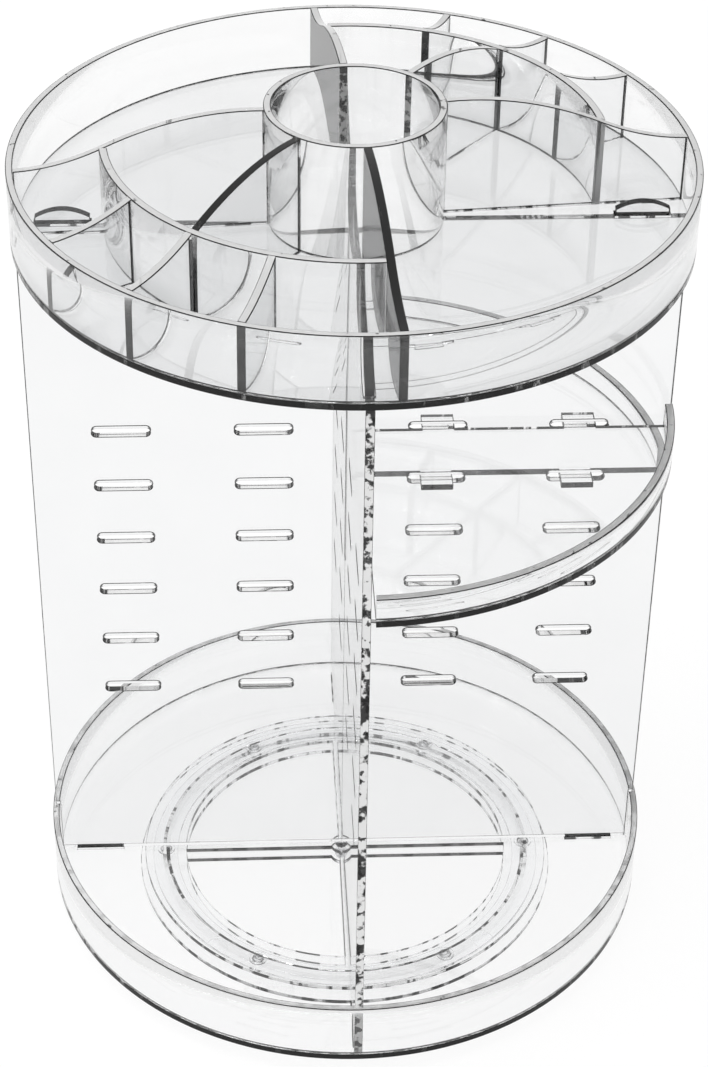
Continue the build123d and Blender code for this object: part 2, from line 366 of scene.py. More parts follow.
@dataclass(frozen=True)
class Opaque:
    """Steel with fine grain in its colour, gloss and relief."""

    name: str
    dark: tuple[float, float, float]
    light: tuple[float, float, float]
    metal: float
    smooth: float
    rough: float
    grain: float
    relief: float = 0.00002
    relief_share: float = 0.4

    def material(self) -> bpy.types.Material:
        """Build the finish.

        Returns:
            A plain shader with noise in its colour, roughness and relief.
        """
        sheet = NodeSheet(self.name)
        shader = sheet.add("ShaderNodeBsdfPrincipled", Metallic=self.metal)
        grain = sheet.noise(self.grain, 5.0)
        tone = sheet.add("ShaderNodeMix")
        tone.data_type = "RGBA"
        tone.inputs["A"].default_value = (*self.dark, 1.0)
        tone.inputs["B"].default_value = (*self.light, 1.0)
        sheet.join(grain, tone.inputs["Factor"])
        sheet.join(tone.outputs["Result"], shader.inputs["Base Color"])
        sheet.join(sheet.ranged(grain, 0.3, 0.7, self.smooth, self.rough), shader.inputs["Roughness"])
        sheet.join(sheet.bump(grain, self.relief, self.relief_share), shader.inputs["Normal"])
        sheet.join(shader.outputs["BSDF"], sheet.output.inputs["Surface"])
        return sheet.material


@dataclass
class Finishes:
    """Every finish on the organizer, made once."""

    panel: bpy.types.Material
    tray: bpy.types.Material
    blade: bpy.types.Material
    clear: bpy.types.Material
    moulding: bpy.types.Material
    steel: bpy.types.Material
    pad: bpy.types.Material
    edges: dict[tuple[float | None, EdgeKind], bpy.types.Material] = field(default_factory=dict)

    @classmethod
    def mix(cls) -> "Finishes":
        """Make the materials.

        Returns:
            The set of finishes.
        """
        sheet = {"density": 6.0, "haze": 0.03, "relief_scale": 14.0, "relief": 0.00001}
        tube = {"density": 4.0, "haze": 0.03, "relief_scale": 20.0, "relief": 0.00002}
        moulded = {"density": 3.0, "haze": 0.04, "relief_scale": 90.0, "relief": 0.00002}
        soft = {"density": 4.0, "haze": 0.2, "relief_scale": 300.0, "relief": 0.00003}
        ball_steel = Opaque(
            name="bright_steel",
            dark=(0.76, 0.76, 0.77),
            light=(0.9, 0.9, 0.91),
            metal=1.0,
            smooth=0.08,
            rough=0.2,
            grain=900.0,
        )
        # Panel, tray and blade are one clear sheet; their differing greys, the tray's darkest, are
        # painted shade.
        return cls(
            panel=ClearPlastic("acrylic_panel", (0.91, 0.915, 0.92), **sheet).material(),
            tray=ClearPlastic("acrylic_tray", (0.84, 0.845, 0.85), **sheet).material(),
            blade=PaintedReflectionPlastic("acrylic_blade", (0.9, 0.905, 0.91), **sheet).material(),
            clear=ClearPlastic("acrylic_clear", (0.997, 0.998, 0.999), **tube).material(),
            moulding=ClearPlastic("clear_moulding", (0.985, 0.987, 0.99), **moulded).material(),
            steel=ball_steel.material(),
            pad=ClearPlastic("soft_pad", (0.97, 0.972, 0.975), **soft).material(),
        )

    def cut_edge(self, turn: float | None, kind: EdgeKind) -> bpy.types.Material:
        """Edge finish for a sheet at one angle, made when first asked for.

        Args:
            turn: The sheet's turn about the axis in degrees, or None for a lying sheet.
            kind: How much painted shade the edge carries.

        Returns:
            The finish.
        """
        key = (None if turn is None else round(turn) % 180, kind)
        if key not in self.edges:
            edge = CutEdge("cut_edge", (0.95, 0.955, 0.96), 6.0, 0.12, 420.0, 0.0003)
            self.edges[key] = edge.material_across(turn, kind)
        return self.edges[key]


# --- outlines -----------------------------------------------------------------------------


def circle(radius: float, count: int, centre: Point = (0.0, 0.0)) -> Outline:
    """Round outline.

    Args:
        radius: Its radius.
        count: Its number of points.
        centre: Its centre.

    Returns:
        The points, anticlockwise.
    """
    turns = [2 * pi * step / count for step in range(count)]
    return [(centre[0] + radius * cos(turn), centre[1] + radius * sin(turn)) for turn in turns]


def arc(radius: float, start: float, end: float, count: int, centre: Point = (0.0, 0.0)) -> Outline:
    """Stretch of a circle between two angles in radians, both ends included.

    Args:
        radius: The circle's radius.
        start: The first angle.
        end: The last angle.
        count: Steps between them.
        centre: The circle's centre.

    Returns:
        The points in order.
    """
    turns = [start + (end - start) * step / count for step in range(count + 1)]
    return [(centre[0] + radius * cos(turn), centre[1] + radius * sin(turn)) for turn in turns]


def rectangle(centre: Point, width: float, height: float) -> Outline:
    """Rectangle about a centre.

    Args:
        centre: Its centre.
        width: Its size along the first axis.
        height: Its size along the second axis.

    Returns:
        The four corners, anticlockwise.
    """
    x, y = centre
    w, h = width / 2, height / 2
    return [(x - w, y - h), (x + w, y - h), (x + w, y + h), (x - w, y + h)]


def round_slot(centre: Point, length: float, height: float) -> Outline:
    """Slot with half-round ends about a centre.

    Args:
        centre: Its centre.
        length: Its length from end to end.
        height: Its height, which is also its ends' diameter.

    Returns:
        The points, anticlockwise.
    """
    radius = height / 2
    reach = length / 2 - radius
    end_steps = 10
    right = arc(radius, -pi / 2, pi / 2, end_steps, (centre[0] + reach, centre[1]))
    left = arc(radius, pi / 2, 3 * pi / 2, end_steps, (centre[0] - reach, centre[1]))
    return right + left


def bowed(start: Point, end: Point, rise: float, count: int = 14) -> Outline:
    """Shallow bow from one point to another, both ends included.

    Args:
        start: The first point.
        end: The last point.
        rise: How far its middle lies above the straight line.
        count: Steps along it.

    Returns:
        The points in order.
    """
    points = []
    for step in range(count + 1):
        part = step / count
        x = start[0] + (end[0] - start[0]) * part
        y = start[1] + (end[1] - start[1]) * part + 4 * rise * part * (1 - part)
        points.append((x, y))
    return points


# --- making pieces ------------------------------------------------------------------------


def put_down() -> None:
    """Leave edit mode and select nothing, so that the next step acts on its own piece."""
    if bpy.context.object is not None and bpy.context.mode != "OBJECT":
        bpy.ops.object.mode_set(mode="OBJECT")
    bpy.ops.object.select_all(action="DESELECT")


def take_up(piece: bpy.types.Object) -> None:
    """Make one piece the only selected and the active one.

    Args:
        piece: The piece.
    """
    put_down()
    piece.select_set(True)
    bpy.context.view_layer.objects.active = piece


def close_up(piece: bpy.types.Object, crease: float = 32.0, seam: float = 0.000002) -> None:
    """Merge a piece's seams, turn its faces outwards and smooth its curved faces.

    Args:
        piece: The piece.
        crease: Edges sharper than this many degrees stay sharp.
        seam: Points closer than this many metres are merged.
    """
    take_up(piece)
    bpy.ops.object.mode_set(mode="EDIT")
    bpy.ops.mesh.select_all(action="SELECT")
    bpy.ops.mesh.remove_doubles(threshold=seam)
    bpy.ops.mesh.normals_make_consistent(inside=False)
    bpy.ops.object.mode_set(mode="OBJECT")
    bpy.ops.object.shade_smooth_by_angle(angle=radians(crease))


class Plane(Enum):
    """How a flat outline stands in the frame: its first axis is always X before turning."""

    FLOOR = Matrix.Identity(4)
    UPRIGHT = Matrix.Rotation(radians(90), 4, "X")


@dataclass
class Sheet:
    """Sheet of stock cut to an outline, with softened edges."""

    name: str
    thickness: float
    outlines: list[Outline]
    plane: Plane = Plane.FLOOR
    soften: float = 0.00018

    def cut(self, level: float = 0.0, turn: float = 0.0) -> bpy.types.Object:
        """Cut the sheet and stand it in place.

        Args:
            level: Height of a lying sheet's middle, or 0 for an upright one.
            turn: Degrees about the turning axis.

        Returns:
            The finished mesh, at the origin.
        """
        put_down()
        curve = bpy.data.curves.new(self.name, "CURVE")
        curve.dimensions = "2D"
        curve.fill_mode = "BOTH"
        curve.extrude = self.thickness / 2 - self.soften
        curve.bevel_depth = self.soften
        curve.bevel_resolution = 0
        curve.offset = -self.soften
        for outline in self.outlines:
            spline = curve.splines.new("POLY")
            spline.points.add(len(outline) - 1)
            for point, (x, y) in zip(spline.points, outline):
                point.co = (x, y, 0.0, 1.0)
            spline.use_cyclic_u = True
        piece = bpy.data.objects.new(self.name, curve)
        bpy.context.scene.collection.objects.link(piece)
        take_up(piece)
        bpy.ops.object.convert(target="MESH")
        piece.matrix_world = (
            Matrix.Rotation(radians(turn), 4, "Z") @ Matrix.Translation((0, 0, level)) @ self.plane.value
        )
        bpy.ops.object.transform_apply(location=True, rotation=True, scale=True)
        close_up(piece)
        return piece


@dataclass
class Tube:
    """Tube wall or ring spun from a rounded rectangular section."""

    name: str
    inner: float
    outer: float
    bottom: float
    top: float
    soften: float = 0.0003
    steps: int = 220

    def spin(self) -> bpy.types.Object:
        """Spin the section round the turning axis.

        Returns:
            The finished mesh, at the origin.
        """
        put_down()
        middle = ((self.inner + self.outer) / 2, 0, (self.bottom + self.top) / 2)
        bpy.ops.mesh.primitive_plane_add(size=1, location=middle, rotation=(pi / 2, 0, 0))
        piece = bpy.context.active_object
        piece.name = self.name
        piece.scale = (self.outer - self.inner, self.top - self.bottom, 1)
        bpy.ops.object.transform_apply(location=True, rotation=True, scale=True)
        bpy.ops.object.mode_set(mode="EDIT")
        bpy.ops.mesh.select_all(action="SELECT")
        bpy.ops.mesh.bevel(offset=self.soften, offset_type="OFFSET", segments=2, affect="VERTICES")
        bpy.ops.mesh.select_all(action="SELECT")
        bpy.ops.mesh.delete(type="ONLY_FACE")
        bpy.ops.mesh.select_all(action="SELECT")
        bpy.ops.mesh.spin(
            steps=self.steps, angle=2 * pi, center=(0, 0, 0), axis=(0, 0, 1), use_auto_merge=True
        )
        close_up(piece)
        return piece


def trim(piece: bpy.types.Object, point: Vector, normal: Vector) -> None:
    """Cut a piece along a plane, drop what lies on the normal's side and close the cut.

    Args:
        piece: The piece.
        point: A point on the plane.
        normal: The side that is dropped.
    """
    take_up(piece)
    bpy.ops.object.mode_set(mode="EDIT")
    bpy.ops.mesh.select_all(action="SELECT")
    bpy.ops.mesh.bisect(plane_co=point, plane_no=normal, use_fill=True, clear_outer=True)
    bpy.ops.object.mode_set(mode="OBJECT")


def merge(pieces: list[bpy.types.Object], name: str) -> bpy.types.Object:
    """Join pieces into one mesh.

    Args:
        pieces: The pieces, none of which overlap.
        name: The joined piece's name.

    Returns:
        The joined piece.
    """
    put_down()
    for piece in pieces:
        piece.select_set(True)
    bpy.context.view_layer.objects.active = pieces[0]
    if len(pieces) > 1:
        bpy.ops.object.join()
    pieces[0].name = name
    return pieces[0]


def carve(piece: bpy.types.Object, cutter: bpy.types.Object) -> None:
    """Cut one shape out of a piece and throw the cutter away.

    Args:
        piece: The piece.
        cutter: The closed shape to remove from it.
    """
    take_up(piece)
    cut = piece.modifiers.new("carve", "BOOLEAN")
    cut.operation = "DIFFERENCE"
    cut.solver = "EXACT"
    cut.object = cutter
    bpy.ops.object.modifier_apply(modifier=cut.name)
    bpy.data.objects.remove(cutter)


EdgeRule = Callable[[bpy.types.MeshPolygon], EdgeKind | None]


@dataclass
class Dresser:
    """Gives finished pieces their materials, their body and the node that they stand for."""

    finishes: Finishes
    flat: float = 0.9
    level_rim: float = 0.95
    sloped: float = 0.3
    sawn_end: float = 0.5

    def sheet(
        self,
        piece: bpy.types.Object,
        node: str,
        body: Body,
        face: bpy.types.Material,
        turn: float | None = None,
        kind_of: EdgeRule = lambda edge: EdgeKind.BLACK,
        stock: Stock = Stock.ACRYLIC,
    ) -> None:
        """Dress a cut sheet: clear faces, and cut edges striped with painted shade.

        Args:
            piece: The piece.
            node: The node that it replaces.
            body: What it moves with.
            face: The finish of its faces.
            turn: An upright sheet's turn about the axis in degrees, or None for a lying one.
            kind_of: Gives how much painted shade each edge carries, or None for one as clear as a tube.
            stock: The record's slot for it; not used.
        """
        normal = Vector((0, 0, 1))
        if turn is not None:
            normal = Matrix.Rotation(radians(turn), 3, "Z") @ Vector((0, 1, 0))
        piece.data.materials.clear()
        piece.data.materials.append(face)
        places: dict[EdgeKind | None, int] = {}
        for polygon in piece.data.polygons:
            if abs(polygon.normal.dot(normal)) > self.flat:
                polygon.material_index = 0
                continue
            kind = kind_of(polygon)
            if kind not in places:
                edge = self.finishes.clear if kind is None else self.finishes.cut_edge(turn, kind)
                piece.data.materials.append(edge)
                places[kind] = len(piece.data.materials) - 1
            polygon.material_index = places[kind]
        self.fit(piece, node, body)

    def tube(self, piece: bpy.types.Object, node: str, body: Body) -> None:
        """Dress a tube or a stretch of one: a clear wall, with painted shade on its sawn rims and ends.

        Args:
            piece: The piece.
            node: The node that it replaces.
            body: What it moves with.
        """
        kinds = (None, EdgeKind.LIGHT, EdgeKind.BROKEN, EdgeKind.MOTTLED, EdgeKind.OUTLINE)
        piece.data.materials.clear()
        piece.data.materials.append(self.finishes.clear)
        for kind in kinds[1:]:
            piece.data.materials.append(self.finishes.cut_edge(None, kind))
        for polygon in piece.data.polygons:
            outwards = Vector((polygon.center.x, polygon.center.y, 0)).normalized()
            slope = abs(polygon.normal.z)
            kind = None
            if slope > self.level_rim:
                kind = EdgeKind.LIGHT if polygon.normal.z > 0 else EdgeKind.BROKEN
            elif abs(polygon.normal.dot(outwards)) + slope < self.sawn_end:
                kind = EdgeKind.MOTTLED
            elif slope > self.sloped:
                kind = EdgeKind.OUTLINE
            polygon.material_index = kinds.index(kind)
        self.fit(piece, node, body)

    def single(
        self, piece: bpy.types.Object, node: str, body: Body, material: bpy.types.Material
    ) -> None:
        """Dress a piece in one finish.

        Args:
            piece: The piece.
            node: The node that it replaces.
            body: What it moves with.
            material: Its finish.
        """
        piece.data.materials.clear()
        piece.data.materials.append(material)
        self.fit(piece, node, body)

    def fit(self, piece: bpy.types.Object, node: str, body: Body) -> None:
        """Let a piece ride on its body in place of its node.

        Args:
            piece: The piece.
            node: The node that it replaces.
            body: What it moves with.
        """
        piece.name = node + "_piece"
        piece.data.name = piece.name
        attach(piece, body.value)
        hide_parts(node)
        log.info("%s: %d faces", piece.name, len(piece.data.polygons))

    def node(self, name: str, material: bpy.types.Material) -> None:
        """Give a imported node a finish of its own.

        Args:
            name: The node.
            material: Its finish.
        """
        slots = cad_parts[name].data.materials
        slots.clear()
        slots.append(material)
        log.info("%s dressed", name)


# --- sub-assemblies -----------------------------------------------------------------------


@dataclass
class Tray:
    """Round floor plate with panel slots, and the tube wall that stands on it."""

    floor_node: str
    rim_node: str
    body: Body
    face: bpy.types.Material
    slot_clearance: float
    wall: float = 0.0024
    tab_centre: float = 0.0976
    tab_width: float = 0.0184
    sheet: float = 0.003
    points: int = 240
    # Edges in front of this line get the black painted shade.
    dark_front: float = -0.06

    def edge_kind(self, edge: bpy.types.MeshPolygon) -> EdgeKind:
        """Tell the front's edge, painted black as painted shade, from the one round the back, painted
        with broken shade.

        Args:
            edge: A face of the sawn edge.

        Returns:
            How it looks.
        """
        return EdgeKind.BLACK if edge.center.y < self.dark_front else EdgeKind.BROKEN

    def build(self, dresser: Dresser) -> None:
        """Cut the floor and spin the rim.

        Args:
            dresser: Dresses the pieces.
        """
        low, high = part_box(self.floor_node)
        outlines = [circle(high.x, self.points)]
        length = self.tab_width + 2 * self.slot_clearance
        width = self.sheet + 2 * self.slot_clearance
        for side in (-1, 1):
            outlines.append(rectangle((side * self.tab_centre, 0), length, width))
            outlines.append(rectangle((0, side * self.tab_centre), width, length))
        plate = Sheet(self.floor_node, high.z - low.z, outlines).cut(level=(low.z + high.z) / 2)
        dresser.sheet(plate, self.floor_node, self.body, self.face, None, self.edge_kind)
        low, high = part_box(self.rim_node)
        rim = Tube(self.rim_node, high.x - self.wall, high.x, low.z, high.z).spin()
        dresser.tube(rim, self.rim_node, self.body)


@dataclass
class CrossedPanels:
    """Two tall slotted panels that pass through each other at half height."""

    thickness: float = 0.003
    rim_inner: float = 0.1124
    step_level: float = 0.03385
    tab_centre: float = 0.0976
    tab_width: float = 0.0184
    tab_shoulder: float = 0.2965
    lap_gap: float = 0.00155
    slot_length: float = 0.0209
    slot_height: float = 0.0035
    columns: tuple[float, ...] = (0.031, 0.0815)
    first_row: float = 0.0925
    pitch: float = 0.0233
    rows: int = 6
    floor_top: float = 0.01045
    top: float = 0.29185
    mouth_area: float = 0.000005
    margin: float = 0.001
    reading_slack: float = 0.0001
    facing: float = 0.9
    softened: float = 0.6

    def outline(self, low: Vector, high: Vector, notch_from_top: bool) -> Outline:
        """Panel's outer edge with its tabs and lap notch, anticlockwise from the bottom left.

        Args:
            low: The node's lowest corner.
            high: The node's highest corner.
            notch_from_top: True for the panel that is notched from its top edge.

        Returns:
            The outline in the panel's own plane.
        """
        half_width = max(high.x, high.y)
        half_tab = self.tab_width / 2
        middle = (self.floor_top + self.top) / 2
        bottom = []
        for centre in (-self.tab_centre, self.tab_centre):
            bottom += [(centre - half_tab, self.floor_top), (centre - half_tab, low.z)]
            bottom += [(centre + half_tab, low.z), (centre + half_tab, self.floor_top)]
        crown = []
        for centre in (self.tab_centre, -self.tab_centre):
            start = (centre + half_tab, self.tab_shoulder)
            end = (centre - half_tab, self.tab_shoulder)
            crown += [(centre + half_tab, self.top)]
            crown += bowed(start, end, high.z - self.tab_shoulder, 12)
            crown += [(centre - half_tab, self.top)]
        gap = self.lap_gap
        if notch_from_top:
            notch = [(gap, self.top), (gap, middle), (-gap, middle), (-gap, self.top)]
            crown = crown[: len(crown) // 2] + notch + crown[len(crown) // 2 :]
        else:
            notch = [(-gap, self.floor_top), (-gap, middle), (gap, middle), (gap, self.floor_top)]
            bottom = bottom[:4] + notch + bottom[4:]
        inside, step = self.rim_inner, self.step_level
        left = [(-half_width, self.top), (-half_width, step), (-inside, step)]
        right = [(inside, step), (half_width, step), (half_width, self.top)]
        foot = [(-inside, self.floor_top)] + bottom + [(inside, self.floor_top)]
        return foot + right + crown + left

    def edge_kind(self, edge: bpy.types.MeshPolygon) -> EdgeKind | None:
        """Tell the tabs, the sawn sides and the slots' mouths, which carry painted shade, from the
        polished long edges.

        Args:
            edge: A face of the sawn edge.

        Returns:
            How it looks, or None for one as clear as a tube.
        """
        reach = hypot(edge.center.x, edge.center.y)
        sideways = max(abs(edge.normal.x), abs(edge.normal.y))
        lowest = self.floor_top - self.reading_slack
        if not lowest < edge.center.z < self.top + self.reading_slack:
            return EdgeKind.BLACK
        if reach > self.rim_inner - self.margin:
            return EdgeKind.MOTTLED if sideways > self.facing else None
        in_slots = self.step_level < edge.center.z < self.top - self.margin
        is_mouth = sideways > self.softened and edge.area < self.mouth_area
        return EdgeKind.BLACK if in_slots and is_mouth else None

    def slots(self) -> list[Outline]:
        """Round-ended slots in their rows and columns.

        Returns:
            One outline for each slot.
        """
        outlines = []
        for row in range(self.rows):
            level = self.first_row + row * self.pitch
            for column in self.columns:
                for side in (-1, 1):
                    centre = (side * column, level)
                    outlines.append(round_slot(centre, self.slot_length, self.slot_height))
        return outlines

    def build(self, dresser: Dresser) -> None:
        """Cut both panels.

        Args:
            dresser: Dresses the pieces.
        """
        for node, turn, from_top in (("wide_panel", 0, True), ("cross_panel", 90, False)):
            low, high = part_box(node)
            outlines = [self.outline(low, high, from_top)] + self.slots()
            panel = Sheet(node, self.thickness, outlines, Plane.UPRIGHT).cut(turn=turn)
            dresser.sheet(panel, node, Body.CAROUSEL, dresser.finishes.panel, turn, self.edge_kind)


@dataclass
class QuarterShelf:
    """Quarter-round shelf hung by two tongues, with a low curved lip."""

    name: str
    body: Body
    side: int
    inset: float = 0.0031
    radius: float = 0.114
    wall: float = 0.0028
    tongue_tip: float = 0.0069
    tongue_width: float = 0.0116
    columns: tuple[float, ...] = (0.031, 0.0815)

    def outline(self) -> Outline:
        """Shelf's edge behind the wide panel.

        Returns:
            The points, anticlockwise from the inner corner.
        """
        edge = self.inset
        half = self.tongue_width / 2
        near = []
        for column in self.columns:
            near += [(column - half, edge), (column - half, -self.tongue_tip)]
            near += [(column + half, -self.tongue_tip), (column + half, edge)]
        reach = atan2(edge, self.radius)
        curve = arc(self.radius, reach, pi / 2 - reach, 64)
        return [(edge, edge)] + near + curve

    def build(self, dresser: Dresser) -> None:
        """Cut the plate and spin the lip.

        Args:
            dresser: Dresses the pieces.
        """
        plate_node = f"{self.name}_plate"
        low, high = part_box(plate_node)
        outline = [(x, self.side * y) for x, y in self.outline()]
        plate = Sheet(plate_node, high.z - low.z, [outline]).cut(level=(low.z + high.z) / 2)
        dresser.sheet(plate, plate_node, self.body, dresser.finishes.clear)
        lip_node = f"{self.name}_lip"
        low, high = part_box(lip_node)
        lip = Tube(lip_node, self.radius - self.wall, self.radius, low.z, high.z).spin()
        trim(lip, Vector((self.inset, 0, 0)), Vector((-1, 0, 0)))
        trim(lip, Vector((0, self.side * self.inset, 0)), Vector((0, -self.side, 0)))
        close_up(lip)
        dresser.tube(lip, lip_node, self.body)


@dataclass
class TopTrayFittings:
    """Brush cup, curved walls and radial plates of the top tray."""

    thickness: float = 0.0028
    cup_wall: float = 0.0025
    cup_radius: float = 0.0302
    arc_radius: float = 0.083
    rim_inner: float = 0.1126
    glue: float = 0.00005
    bottom: float = 0.29435
    rim_top: float = 0.3183
    arc_top: float = 0.3254
    cup_top: float = 0.336
    sag: float = -0.0016
    bulge: float = 0.0034
    start: float = 5.0
    steps: tuple[float, ...] = (0.0, 25.0, 45.0, 65.0, 90.0)
    # Plates whose top edge is painted black as painted shade.
    dark_topped: tuple[str, ...] = ("inner_divider_front", "divider_front_5")
    soften: float = 0.0003
    top_facing: float = 0.8
    top_edge_facing: float = 0.3
    bottom_facing: float = -0.3
    end_reach: float = 0.002

    def plate_outline(self, inner_end: float, outer_end: float) -> Outline:
        """Radial plate from one radius to another, with the bowed top edge.

        Args:
            inner_end: Radius at its inner end.
            outer_end: Radius at its outer end.

        Returns:
            The outline, anticlockwise.
        """
        at_cup = (self.cup_radius + self.glue, self.cup_top)
        at_rim = (self.rim_inner - 2 * self.glue, self.rim_top)
        top: Outline = []
        if outer_end > self.arc_radius:
            foot = (max(inner_end, self.arc_radius), self.arc_top)
            top += bowed(at_rim, foot, self.sag)
        if inner_end < self.arc_radius:
            head = (min(outer_end, self.arc_radius), self.arc_top)
            bow = bowed(head, at_cup, self.bulge)
            top += bow[1:] if top else bow
        return [(inner_end, self.bottom), (outer_end, self.bottom)] + top

    def radial(
        self, dresser: Dresser, node: str, inner_end: float, outer_end: float, turn: float
    ) -> None:
        """Cut one radial plate and stand it at its angle.

        Args:
            dresser: Dresses the piece.
            node: The node that it replaces.
            inner_end: Radius at its inner end.
            outer_end: Radius at its outer end.
            turn: Its angle in degrees from the wide panel.
        """
        outline = self.plate_outline(inner_end, outer_end)
        plate = Sheet(node, self.thickness, [outline], Plane.UPRIGHT, soften=self.soften).cut(turn=turn)
        face = dresser.finishes.blade if node.endswith("_5") else dresser.finishes.panel
        top_edge = EdgeKind.BLACK if node in self.dark_topped else EdgeKind.LIGHT
        at_cup = self.cup_radius + self.end_reach

        def edge_kind(edge: bpy.types.MeshPolygon) -> EdgeKind | None:
            """Tell the plate's top, its softened corners, its end at the cup and its bottom, each with
            its own painted shade.

            Args:
                edge: A face of the sawn edge.

            Returns:
                How it looks.
            """
            if edge.normal.z > self.top_facing:
                return top_edge
            if edge.normal.z > self.top_edge_facing:
                return EdgeKind.OUTLINE
            if node != self.dark_topped[0] and hypot(edge.center.x, edge.center.y) < at_cup:
                return EdgeKind.MOTTLED
            return EdgeKind.BROKEN if edge.normal.z < self.bottom_facing else EdgeKind.BLACK

        dresser.sheet(plate, node, Body.TOP_TRAY, face, turn, edge_kind)

    def curved_wall(self, dresser: Dresser, node: str, turn: float) -> None:
        """Spin one curved wall and trim it between its group's first and last plates.

        Args:
            dresser: Dresses the piece.
            node: The node that it replaces.
            turn: The group's turn in degrees.
        """
        half = self.thickness / 2
        low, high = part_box(node)
        wall = Tube(node, self.arc_radius - half, self.arc_radius + half, low.z, high.z).spin()
        first = Matrix.Rotation(radians(self.start + turn), 3, "Z")
        edge = half + self.glue
        trim(wall, first @ Vector((0, edge, 0)), first @ Vector((0, -1, 0)))
        trim(wall, first @ Vector((edge, 0, 0)), first @ Vector((-1, 0, 0)))
        close_up(wall)
        dresser.tube(wall, node, Body.TOP_TRAY)

    def build(self, dresser: Dresser) -> None:
        """Build the cup and both groups.

        Args:
            dresser: Dresses the pieces.
        """
        low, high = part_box("brush_cup")
        cup = Tube("brush_cup", high.x - self.cup_wall, high.x, low.z, high.z, steps=128).spin()
        dresser.tube(cup, "brush_cup", Body.TOP_TRAY)
        half = self.thickness / 2
        cup_side = self.cup_radius + self.glue
        rim_side = self.rim_inner - 2 * self.glue
        arc_outside = self.arc_radius + half + self.glue
        arc_inside = self.arc_radius - half - 2 * self.glue
        last = len(self.steps) - 1
        for group, turn in (("rear", 0), ("front", 180)):
            self.curved_wall(dresser, f"arc_divider_{group}", turn)
            for number, step in enumerate(self.steps):
                inner_end = cup_side if number in (0, last) else arc_outside
                angle = self.start + step + turn
                self.radial(dresser, f"divider_{group}_{number + 1}", inner_end, rim_side, angle)
            middle = self.start + self.steps[last // 2] + turn
            self.radial(dresser, f"inner_divider_{group}", cup_side, arc_inside, middle)


